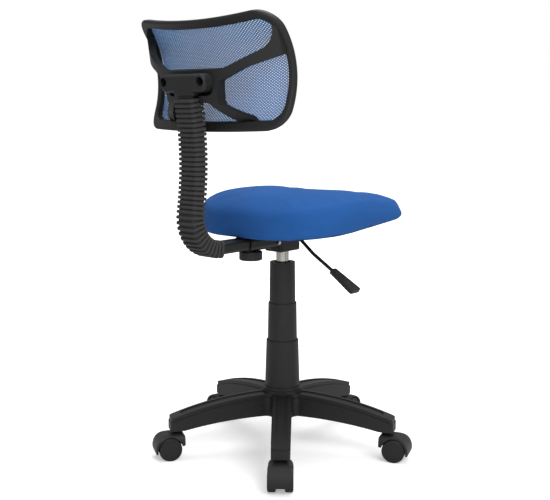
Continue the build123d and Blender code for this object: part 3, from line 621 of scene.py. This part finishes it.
def hem_tree():
    """Bead along the edge of a sheet's front."""
    tree, given, end = new_tree("Hem", (
        ("Sheet", "Object"), ("Rearward", "Vector"), ("Radius", "Float"), ("Material", "Material"),
    ))
    merged = add_node(tree, "GeometryNodeMergeByDistance", {
        "Geometry": object_shape(tree, given["Sheet"]), "Distance": merge_reach,
    })
    normal = add_node(tree, "GeometryNodeInputNormal")
    facing = add_node(tree, "ShaderNodeVectorMath", {
        0: normal.outputs["Normal"], 1: given["Rearward"],
    }, operation="DOT_PRODUCT")
    turned = add_node(tree, "FunctionNodeCompare", {
        0: facing.outputs["Value"], 1: front_facing,
    }, data_type="FLOAT", operation="GREATER_THAN")
    front = add_node(tree, "GeometryNodeDeleteGeometry", {
        "Geometry": merged.outputs["Geometry"], "Selection": turned.outputs["Result"],
    }, domain="FACE")
    sides = add_node(tree, "GeometryNodeInputMeshEdgeNeighbors")
    border = add_node(tree, "FunctionNodeCompare", {
        2: sides.outputs["Face Count"], 3: 1,
    }, data_type="INT", operation="EQUAL")
    line = add_node(tree, "GeometryNodeMeshToCurve", {
        "Mesh": front.outputs["Geometry"], "Selection": border.outputs["Result"],
    })
    even = add_node(tree, "GeometryNodeResampleCurve", {
        "Curve": line.outputs["Curve"], "Length": hem_step,
    }, mode="LENGTH")
    section = add_node(tree, "GeometryNodeCurvePrimitiveCircle", {
        "Resolution": hem_sides, "Radius": given["Radius"],
    })
    end_tree(tree, given, end, swept(tree, even.outputs["Curve"], section.outputs["Curve"]))
    return tree


class CHAIR_OT_net(bpy.types.Operator):
    """Stretches the net over the back and hems it"""

    bl_idname = "chair.net"
    bl_label = "Net back"

    def execute(self, context):
        sizes = context.scene.chair.net
        sheet = frame["nodes"]["back_mesh"]
        low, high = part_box("back_mesh")
        thread = bpy.data.materials["net_thread"]
        net = grown("back_net", net_tree(), {
            "Sheet": sheet,
            "Middle": (low + high) / 2 - net_ahead * back_rearward,
            "Turn": (math.pi / 2 - back_tilt, 0.0, 0.0),
            "Rearward": back_rearward,
            "Pitch across": sizes.pitch_across,
            "Pitch up": sizes.pitch_up,
            "Hole": sizes.hole,
            "Material": thread,
        })
        if not net.data.polygons:
            raise RuntimeError("the net has no threads")
        wall = net.modifiers.new("Thickness", "SOLIDIFY")
        wall.thickness = sizes.thickness
        wall.offset = -1.0
        hem = grown("net_hem", hem_tree(), {
            "Sheet": sheet,
            "Rearward": back_rearward,
            "Radius": sizes.hem,
            "Material": thread,
        })
        for piece in (net, hem):
            paint(piece, thread)
            smooth(piece)
            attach(piece, "back")
        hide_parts("back_mesh")
        return {"FINISHED"}


# Ribbed cover of the bar


def bar_route(start, end, step):
    """Points on the bar's centre line, counted from the start of its bend."""
    points = []
    count = round((end - start) / step)
    bend = bar_bend_radius * bar_bend_angle
    bow = bar_bow_radius * bar_bow_turn
    for index in range(count + 1):
        along = start + (end - start) * index / count
        turn = min(max(along, 0.0), bend) / bar_bend_radius
        y = bar_bend_start + bar_bend_radius * math.sin(turn) + min(along, 0.0)
        z = bar_height + bar_bend_radius * (1 - math.cos(turn))
        swing = min(max(along - bend, 0.0), bow) / bar_bow_radius
        last = turn - swing
        y += bar_bow_radius * (math.sin(turn) - math.sin(last))
        z += bar_bow_radius * (math.cos(last) - math.cos(turn))
        rest = max(along - bend - bow, 0.0)
        points.append((0.0, y + rest * math.cos(last), z + rest * math.sin(last)))
    return points


def rounded_frame(tree, width, depth, corner, steps):
    """Rounded rectangle as a curve."""
    square = add_node(tree, "GeometryNodeCurvePrimitiveQuadrilateral", {"Width": width, "Height": depth})
    return add_node(tree, "GeometryNodeFilletCurve", {
        "Curve": square.outputs["Curve"], "Radius": corner, "Count": steps,
    }, mode="POLY").outputs["Curve"]


def rib_tree():
    """Sleeve along a route with a rounded rib at every pitch."""
    tree, given, end = new_tree("Ribbed cover", (
        ("Route", "Object"), ("Width", "Float"), ("Depth", "Float"), ("Corner", "Float"), ("Ribs", "Int"),
        ("Height", "Float"), ("Length", "Float"), ("Rounding", "Float"), ("Material", "Material"),
    ))
    route = object_shape(tree, given["Route"])
    outline = rounded_frame(tree, given["Width"], given["Depth"], given["Corner"], cover_corner_steps)
    twice_height = maths(tree, "MULTIPLY", given["Height"], 2.0)
    section = rounded_frame(tree, twice_height, given["Length"], given["Rounding"], rib_corner_steps)
    spots = add_node(tree, "GeometryNodeCurveToPoints", {
        "Curve": route, "Count": given["Ribs"],
    }, mode="COUNT")
    ribs = add_node(tree, "GeometryNodeInstanceOnPoints", {
        "Points": spots.outputs["Points"], "Rotation": spots.outputs["Rotation"],
        "Instance": swept(tree, outline, section),
    })
    joined = add_node(tree, "GeometryNodeJoinGeometry", {"Geometry": swept(tree, route, outline)})
    feed(tree, joined, {"Geometry": ribs.outputs["Instances"]})
    end_tree(tree, given, end, joined.outputs["Geometry"])
    return tree


class CHAIR_OT_ribbed_cover(bpy.types.Operator):
    """Makes the ribbed cover of the bar"""

    bl_idname = "chair.ribbed_cover"
    bl_label = "Ribbed cover"

    def execute(self, context):
        sizes = context.scene.chair.ribs
        bend = bar_bend_radius * bar_bend_angle
        bow = bar_bow_radius * bar_bow_turn
        first = cover_start + sizes.pitch / 2
        last = bend + bow + cover_past_bow - sizes.pitch / 2
        ribs = round((last - first) / sizes.pitch) + 1
        route = route_object("bar_route", bar_route(first, last, cover_step))
        rubber = bpy.data.materials["black_rubber"]
        cover = grown("bar_cover", rib_tree(), {
            "Route": route,
            "Width": sizes.width,
            "Depth": sizes.depth,
            "Corner": sizes.corner,
            "Ribs": ribs,
            "Height": sizes.height,
            "Length": sizes.length,
            "Rounding": sizes.rounding,
            "Material": rubber,
        })
        bpy.data.objects.remove(route)
        cover.data.set_sharp_from_angle(angle=rib_sharp_angle)
        paint(cover, rubber)
        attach(cover, "back")
        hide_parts("bellows")
        return {"FINISHED"}


# Padded seat


def seat_place(sizes):
    """Frame of the seat: its board's underside on the column's axis, front raised."""
    return Matrix.Translation((0.0, 0.0, sizes.board_height)) @ Matrix.Rotation(-sizes.tilt, 4, "X")


def seat_outline(sizes, inset):
    """Points round the seat's plan, drawn in all round."""
    half = sizes.half_width - inset
    front = -sizes.front + inset
    rear = sizes.rear - inset
    low = sizes.front_corner - inset
    high = sizes.rear_corner - inset
    corners = (
        (half - high, rear - high, high, 0.0),
        (-half + high, rear - high, high, 90.0),
        (-half + low, front + low, low, 180.0),
        (half - low, front + low, low, 270.0),
    )
    points = []
    for x, y, radius, first in corners:
        for index in range(outline_steps + 1):
            angle = math.radians(first + 90.0 * index / outline_steps)
            points.append((x + radius * math.cos(angle), y + radius * math.sin(angle)))
    return points


def edge_distance(sizes, x, y):
    """Distance from a point to the seat's outline near the front, and the way out to it."""
    across = abs(x) - (sizes.half_width - sizes.front_corner)
    along = -y - (sizes.front - sizes.front_corner)
    if across > 0.0 and along > 0.0:
        reach = math.hypot(across, along)
        return sizes.front_corner - reach, Vector((math.copysign(across, x), -along, 0.0)) / reach
    if along > across:
        return sizes.front_corner - along, Vector((0.0, -1.0, 0.0))
    return sizes.front_corner - across, Vector((math.copysign(1.0, x), 0.0, 0.0))


def front_place(sizes, spot):
    """Place of a point of the seat with a dip between the thighs and the front's lower edge drawn out."""
    across = spot.x / sizes.dip_reach
    if abs(across) < 1.0:
        top = clamped(spot.z / (dip_rise * sizes.nose_height))
        along = clamped((spot.y - sizes.dip_start) / (sizes.dip_full - sizes.dip_start))
        grown_in = math.sin(along * math.pi / 2) ** 2
        spot.z -= sizes.dip * math.cos(across * math.pi / 2) ** 2 * grown_in * top
    ahead = clamped((-spot.y - nose_start * sizes.front) / (nose_rise * sizes.front))
    low = clamped(1.0 - spot.z / sizes.nose_height)
    inside, outward = edge_distance(sizes, spot.x, spot.y)
    near = clamped(1.0 - inside / (nose_reach * sizes.nose_draw))
    return spot + outward * (sizes.nose_draw * ahead * low * near)


def remeshed_padding(sizes):
    """Even mesh of the cushion's solid, a little smaller than it."""
    mesh = frame["nodes"]["seat_cushion"].data.copy()
    shape = bmesh.new()
    shape.from_mesh(mesh)
    bmesh.ops.remove_doubles(shape, verts=shape.verts, dist=merge_reach)
    shape.to_mesh(mesh)
    shape.free()
    holder = add_object("seat_padding_holder", mesh)
    cells = holder.modifiers.new("Cells", "REMESH")
    cells.mode = "VOXEL"
    cells.voxel_size = sizes.voxel
    padding = plain_mesh("seat_padding", holder)
    inward = seat_place(sizes).inverted()
    for vertex in padding.data.vertices:
        share = clamped((inward @ vertex.co).z / ease_height)
        vertex.co -= vertex.normal * (sizes.ease * share)
    return padding


def held_points(padding, sizes):
    """Vertices under the seat and in the board's well, which don't move."""
    inward = seat_place(sizes).inverted()
    well = sizes.half_width - well_inset
    held = []
    for vertex in padding.data.vertices:
        place = inward @ vertex.co
        under = place.z < held_height
        in_well = place.z < well_height and vertex.normal.z < 0.0 and abs(place.x) < well
        if under or in_well:
            held.append(vertex.index)
    return held


def inflated(padding, sizes):
    """Places of the cloth after the foam has pushed it out."""
    group = padding.vertex_groups.new(name="held")
    group.add(held_points(padding, sizes), 1.0, "REPLACE")
    cloth = padding.modifiers.new("Cloth", "CLOTH")
    settings = cloth.settings
    settings.quality = 6
    settings.mass = 0.3
    settings.tension_stiffness = 25.0
    settings.compression_stiffness = 25.0
    settings.shear_stiffness = 12.0
    settings.bending_stiffness = 1.5
    settings.use_pressure = True
    settings.uniform_pressure_force = sizes.pressure
    settings.vertex_group_mass = "held"
    settings.effector_weights.gravity = 0.0
    cloth.collision_settings.use_collision = False
    scene = bpy.context.scene
    cloth.point_cache.frame_start = 1
    cloth.point_cache.frame_end = cloth_frames
    for step in range(1, cloth_frames + 1):
        scene.frame_set(step)
    depsgraph = bpy.context.evaluated_depsgraph_get()
    moved = [vertex.co.copy() for vertex in padding.evaluated_get(depsgraph).data.vertices]
    padding.modifiers.remove(cloth)
    scene.frame_set(1)
    return moved


def padded_seat(sizes):
    """Seat cushion with its cloth drawn over the foam, its movement capped."""
    padding = remeshed_padding(sizes)
    for vertex, place in zip(padding.data.vertices, inflated(padding, sizes)):
        step = place - vertex.co
        if step.length > sizes.swell:
            step *= sizes.swell / step.length
        vertex.co += step
    padding.vertex_groups.clear()
    return padding


def even_skin(piece):
    """Irons out the voxel steps."""
    shape = bmesh.new()
    shape.from_mesh(piece.data)
    for _ in range(skin_passes):
        bmesh.ops.smooth_vert(
            shape, verts=shape.verts, factor=0.5, use_axis_x=True, use_axis_y=True, use_axis_z=True,
        )
    shape.to_mesh(piece.data)
    shape.free()


def crisp_edge(piece, sizes):
    """Lays the lower edge back on the cushion's solid, where the cloth is pulled tight round the board."""
    solid = frame["nodes"]["seat_cushion"].data
    faces = BVHTree.FromPolygons(
        [vertex.co for vertex in solid.vertices], [tuple(face.vertices) for face in solid.polygons],
    )
    inward = seat_place(sizes).inverted()
    for vertex in piece.data.vertices:
        height = (inward @ vertex.co).z
        share = clamped((sizes.edge_height - height) / (sizes.edge_height / 2))
        if share > 0.0:
            vertex.co = vertex.co.lerp(faces.find_nearest(vertex.co)[0], share)


def shape_front(piece, sizes):
    """Presses the dip into the seat and draws the front's lower edge out."""
    place = seat_place(sizes)
    inward = place.inverted()
    for vertex in piece.data.vertices:
        vertex.co = place @ front_place(sizes, inward @ vertex.co)


class CHAIR_OT_seat(bpy.types.Operator):
    """Pads the seat and covers it with cloth"""

    bl_idname = "chair.seat"
    bl_label = "Padded seat"

    def execute(self, context):
        sizes = context.scene.chair.seat
        cushion = padded_seat(sizes)
        even_skin(cushion)
        crisp_edge(cushion, sizes)
        shape_front(cushion, sizes)
        cushion.name = "seat_pad"
        paint(cushion, bpy.data.materials["seat_cloth"])
        smooth(cushion)
        finer = cushion.modifiers.new("Finer", "SUBSURF")
        finer.levels = 1
        finer.render_levels = 1
        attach(cushion, "lift")
        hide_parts("seat_cushion")
        return {"FINISHED"}


# Cloth margin and staples under the seat


def margin_mesh(sizes):
    """Strip of cloth turned in under the board, with small folds and a cut edge."""
    shape = bmesh.new()
    rows = []
    for row in range(margin_rows + 1):
        share = row / margin_rows
        inset = sizes.margin_outer + (sizes.margin_inner - sizes.margin_outer) * share
        loop = []
        for index, (x, y) in enumerate(seat_outline(sizes, inset)):
            fold = margin_fold * math.sin(index * margin_fold_turn) * (1.0 - share)
            drop = -margin_gap - abs(fold) - margin_sag * math.sin(math.pi * share)
            loop.append(shape.verts.new((x, y, drop)))
        rows.append(loop)
    for outer, inner in zip(rows, rows[1:]):
        for index in range(len(outer)):
            following = (index + 1) % len(outer)
            shape.faces.new((outer[index], inner[index], inner[following], outer[following]))
    bmesh.ops.recalc_face_normals(shape, faces=shape.faces)
    mesh = bpy.data.meshes.new("seat_margin")
    shape.to_mesh(mesh)
    shape.free()
    mesh.transform(seat_place(sizes))
    return mesh


def staple_tree():
    """Staples along a route, evenly spaced."""
    tree, given, end = new_tree("Staples", (
        ("Route", "Object"), ("Count", "Int"), ("Length", "Float"), ("Wire", "Float"),
        ("Material", "Material"),
    ))
    crown = add_node(tree, "GeometryNodeCurvePrimitiveQuadrilateral", {
        "Width": given["Length"], "Height": maths(tree, "MULTIPLY", given["Wire"], staple_crown),
    })
    wire = add_node(tree, "GeometryNodeCurvePrimitiveCircle", {
        "Resolution": staple_sides, "Radius": given["Wire"],
    })
    spots = add_node(tree, "GeometryNodeCurveToPoints", {
        "Curve": object_shape(tree, given["Route"]), "Count": given["Count"],
    }, mode="COUNT")
    turned = add_node(tree, "FunctionNodeAlignRotationToVector", {
        "Vector": spots.outputs["Tangent"],
    }, axis="X")
    staples = add_node(tree, "GeometryNodeInstanceOnPoints", {
        "Points": spots.outputs["Points"], "Rotation": turned.outputs["Rotation"],
        "Instance": swept(tree, crown.outputs["Curve"], wire.outputs["Curve"]),
    })
    end_tree(tree, given, end, staples.outputs["Instances"])
    return tree


class CHAIR_OT_underside(bpy.types.Operator):
    """Turns the cloth in under the board and staples it"""

    bl_idname = "chair.underside"
    bl_label = "Cloth margin"

    def execute(self, context):
        sizes = context.scene.chair.seat
        margin = add_object("seat_margin", margin_mesh(sizes))
        wall = margin.modifiers.new("Thickness", "SOLIDIFY")
        wall.thickness = margin_thickness
        paint(margin, bpy.data.materials["seat_cloth"])
        smooth(margin)
        place = seat_place(sizes)
        line = [
            place @ Vector((x, y, -staple_drop))
            for x, y in seat_outline(sizes, sizes.margin_inner - staple_inset)
        ]
        route = route_object("staple_route", line)
        route.data.splines[0].use_cyclic_u = True
        zinc = bpy.data.materials["zinc_plate"]
        staples = grown("seat_staples", staple_tree(), {
            "Route": route,
            "Count": sizes.staples,
            "Length": staple_length,
            "Wire": staple_wire,
            "Material": zinc,
        })
        bpy.data.objects.remove(route)
        paint(staples, zinc)
        for piece, slot in ((margin, "blue_fabric"), (staples, "zinc")):
            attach(piece, "lift")
        return {"FINISHED"}


# Studio


def studio_floor():
    """Pale floor that keeps the chair's shadow and turns white further out."""
    mesh = bpy.data.meshes.new("studio_floor")
    corners = ((-1.0, -1.0), (1.0, -1.0), (1.0, 1.0), (-1.0, 1.0))
    mesh.from_pydata([(x * floor_reach, y * floor_reach, 0.0) for x, y in corners], [], [(0, 1, 2, 3)])
    floor = add_object("studio_floor", mesh)
    material, tree, shader = new_material("studio_floor")
    place = object_place(tree)
    spread = add_node(tree, "ShaderNodeVectorMath", {0: place}, operation="LENGTH")
    lift = add_node(tree, "ShaderNodeMapRange", {
        "Value": spread.outputs["Value"],
        "From Min": shadow_reach[0], "From Max": shadow_reach[1],
        "To Min": floor_glow[0], "To Max": floor_glow[1],
    }, interpolation_type="SMOOTHSTEP")
    seen = add_node(tree, "ShaderNodeLightPath").outputs["Is Camera Ray"]
    feed(tree, shader, {
        "Base Color": two_tones(tree, noise(tree, place, 3.0, 2.0), (0.89, 0.89, 0.89), (0.91, 0.91, 0.91)),
        "Roughness": 0.9,
        "Specular IOR Level": 0.0,
        "Emission Color": (1.0, 1.0, 1.0, 1.0),
        "Emission Strength": maths(tree, "MULTIPLY", seen, lift.outputs["Result"]),
    })
    paint(floor, material)
    return floor


def studio_world(ambient, reflected):
    """White to the eye, greyer in reflections, softer still as a light."""
    world = bpy.data.worlds.new("studio_world")
    world.use_nodes = True
    tree = world.node_tree
    path = add_node(tree, "ShaderNodeLightPath").outputs
    mirrored = maths(tree, "MULTIPLY", path["Is Glossy Ray"], reflected)
    feed(tree, tree.nodes["Background"], {
        "Color": (1.0, 1.0, 1.0, 1.0),
        "Strength": maths(tree, "MAXIMUM", maths(tree, "MAXIMUM", mirrored, ambient), path["Is Camera Ray"]),
    })
    bpy.context.scene.world = world


def soft_lamp(name, place, target, size, power):
    """Large soft lamp that points at a target."""
    light = bpy.data.lights.new(name, "AREA")
    light.shape = "RECTANGLE"
    light.size, light.size_y = size
    light.energy = power
    lamp = add_object(name, light)
    lamp.location = place
    lamp.rotation_mode = "QUATERNION"
    lamp.rotation_quaternion = (Vector(target) - Vector(place)).to_track_quat("-Z", "Y")


class CHAIR_OT_studio(bpy.types.Operator):
    """Sets up the floor, the lamps and the camera"""

    bl_idname = "chair.studio"
    bl_label = "Studio"

    def execute(self, context):
        settings = context.scene.chair.studio
        studio_floor()
        studio_world(settings.ambient, settings.reflected)
        for name, stand in lamps.items():
            soft_lamp(name + "_lamp", power=getattr(settings, name), **stand)
        camera = add_object("studio_camera", bpy.data.cameras.new("studio_camera"))
        camera.data.sensor_width = sensor_width
        camera.data.lens = settings.lens
        camera.location = settings.camera_place
        camera.rotation_euler = (math.pi / 2 - settings.camera_pitch, 0.0, settings.camera_heading)
        context.scene.camera = camera
        context.scene.view_settings.view_transform = "Standard"
        return {"FINISHED"}


# Panel and registration


operators = (
    CHAIR_OT_finishes,
    CHAIR_OT_net,
    CHAIR_OT_ribbed_cover,
    CHAIR_OT_seat,
    CHAIR_OT_underside,
    CHAIR_OT_studio,
)


class CHAIR_PT_looks(bpy.types.Panel):
    """Steps that dress the chair."""

    bl_idname = "CHAIR_PT_looks"
    bl_label = "Swivel chair"
    bl_space_type = "VIEW_3D"
    bl_region_type = "UI"
    bl_category = "Chair"

    def draw(self, context):
        settings = context.scene.chair
        for group in (settings.colours, settings.seat, settings.net, settings.ribs, settings.studio):
            box = self.layout.box()
            for title in group.__annotations__:
                box.prop(group, title)
        for operator in operators:
            self.layout.operator(operator.bl_idname)


classes = (
    ChairColours, SeatSizes, NetSizes, RibSizes, StudioSettings, ChairSettings, *operators, CHAIR_PT_looks,
)


def register():
    for kind in classes:
        bpy.utils.register_class(kind)
    bpy.types.Scene.chair = bpy.props.PointerProperty(type=ChairSettings)


def unregister():
    del bpy.types.Scene.chair
    for kind in reversed(classes):
        bpy.utils.unregister_class(kind)


def main():
    """Dresses the chair."""
    register()
    bpy.ops.chair.finishes()
    bpy.ops.chair.net()
    bpy.ops.chair.ribbed_cover()
    bpy.ops.chair.seat()
    bpy.ops.chair.underside()
    bpy.ops.chair.studio()


if __name__ == "__main__":
    main()
